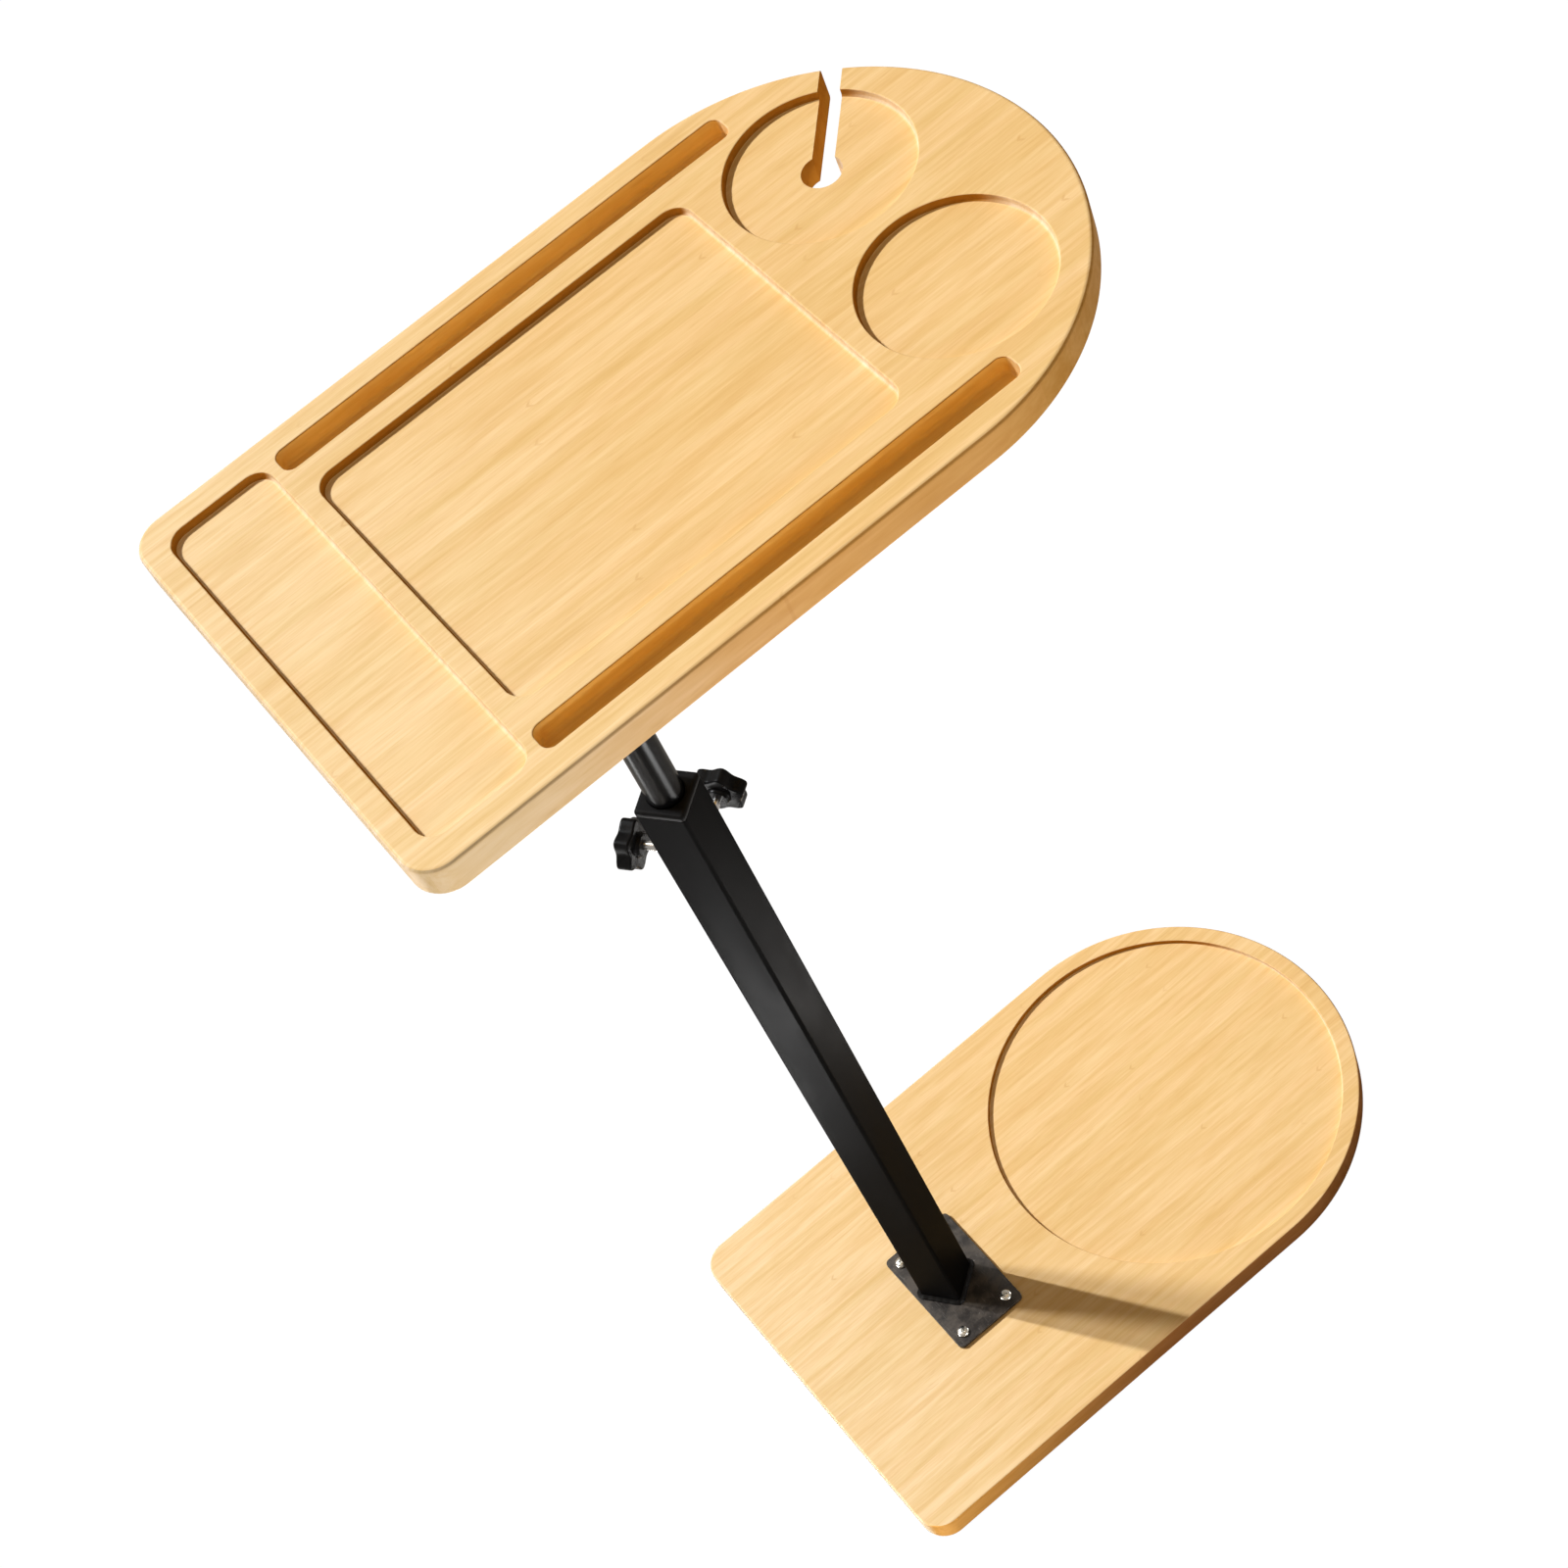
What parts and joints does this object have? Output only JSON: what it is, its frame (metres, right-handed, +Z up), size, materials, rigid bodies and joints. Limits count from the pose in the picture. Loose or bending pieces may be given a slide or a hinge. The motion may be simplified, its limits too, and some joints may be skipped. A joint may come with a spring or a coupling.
{
  "type": "bathtub side table",
  "caption": "Height-adjustable bamboo bathtub tray on a base board: round-ended top with trays, grooves, cup recesses and a stemware slot, on a telescoping black steel pole.",
  "frame": {"origin": "on the floor, directly below the middle of the table's outline seen from above", "axes": "+Z up, +X from the square end to the round end, +Y to the side with the stemware slot"},
  "size_m": [0.522, 0.3, 1.01],
  "materials": {
    "tabletop": "satin lacquered bamboo, fine straight grain along its length",
    "upper_plate": "dark grey-brown plate, lightly scuffed",
    "upper_weld": "black painted weld bead",
    "upper_screw_1": "bright zinc-plated steel",
    "upper_screw_2": "bright zinc-plated steel",
    "upper_screw_3": "bright zinc-plated steel",
    "upper_screw_4": "bright zinc-plated steel",
    "inner_tube": "glossy black paint",
    "tube_plug": "black moulded plastic",
    "guide_bush": "black moulded plastic",
    "bush_washer": "bright zinc-plated steel",
    "bush_screw": "bright zinc-plated steel",
    "outer_tube": "satin black powder coat",
    "top_cap": "black moulded plastic, finely grained",
    "clamp_nut_left": "black painted nut",
    "clamp_nut_right": "black painted nut",
    "clamp_stud_left": "bright plated steel",
    "clamp_stud_right": "bright plated steel",
    "clamp_knob_left": "black moulded plastic, semi-gloss",
    "clamp_knob_right": "black moulded plastic, semi-gloss",
    "base_plate": "dark grey-brown plate, lightly scuffed",
    "base_weld": "black painted weld bead",
    "base_screw_1": "bright zinc-plated steel",
    "base_screw_2": "bright zinc-plated steel",
    "base_screw_3": "bright zinc-plated steel",
    "base_screw_4": "bright zinc-plated steel",
    "base_board": "satin lacquered bamboo, fine straight grain along its length",
    "foot_pad_square_front": "dark non-slip pad",
    "foot_pad_square_back": "dark non-slip pad",
    "foot_pad_round_front": "dark non-slip pad",
    "foot_pad_round_back": "dark non-slip pad"
  },
  "bodies": {
    "stand": {"base_board": "base_board", "foot_pad_square_front": "foot_pad_square_front", "foot_pad_square_back": "foot_pad_square_back", "foot_pad_round_front": "foot_pad_round_front", "foot_pad_round_back": "foot_pad_round_back", "base_plate": "base_plate", "base_weld": "base_weld", "base_screw_1": "base_screw_1", "base_screw_2": "base_screw_2", "base_screw_3": "base_screw_3", "base_screw_4": "base_screw_4", "outer_tube": "outer_tube", "top_cap": "top_cap", "clamp_nut_left": "clamp_nut_left", "clamp_nut_right": "clamp_nut_right"},
    "carriage": {"guide_bush": "guide_bush"},
    "column": {"tabletop": "tabletop", "upper_plate": "upper_plate", "upper_weld": "upper_weld", "upper_screw_1": "upper_screw_1", "upper_screw_2": "upper_screw_2", "upper_screw_3": "upper_screw_3", "upper_screw_4": "upper_screw_4", "inner_tube": "inner_tube", "tube_plug": "tube_plug", "bush_washer": "bush_washer", "bush_screw": "bush_screw"},
    "stud_left": {"clamp_stud_left": "clamp_stud_left"},
    "stud_right": {"clamp_stud_right": "clamp_stud_right"},
    "knob_left": {"clamp_knob_left": "clamp_knob_left"},
    "knob_right": {"clamp_knob_right": "clamp_knob_right"}
  },
  "joints": [
    {"name": "height_slide", "type": "slide", "parent": "stand", "child": "carriage", "axis": [0, 0, 1], "range_m": [-0.22, 0.08]},
    {"name": "top_swivel", "type": "hinge", "parent": "carriage", "child": "column", "pos_m": [-0.107, 0, 0.98], "axis": [0, 0, 1], "continuous": true},
    {"name": "stud_travel_left", "type": "slide", "parent": "stand", "child": "stud_left", "axis": [-0.5948, 0.8039, 0], "range_m": [0, 0.0025]},
    {"name": "knob_turn_left", "type": "hinge", "parent": "stud_left", "child": "knob_left", "pos_m": [-0.13258, 0.03457, 0.6732], "axis": [-0.5948, 0.8039, 0], "range_deg": [0, 900]},
    {"name": "stud_travel_right", "type": "slide", "parent": "stand", "child": "stud_right", "axis": [0.8039, 0.5948, 0], "range_m": [0, 0.0025]},
    {"name": "knob_turn_right", "type": "hinge", "parent": "stud_right", "child": "knob_right", "pos_m": [-0.07243, 0.02558, 0.6732], "axis": [0.8039, 0.5948, 0], "range_deg": [0, 900]}
  ],
  "couplings": [
    {"joint": "stud_travel_left", "follows": "knob_turn_left", "m_per_rad": 0.000159},
    {"joint": "stud_travel_right", "follows": "knob_turn_right", "m_per_rad": 0.000159}
  ]
}
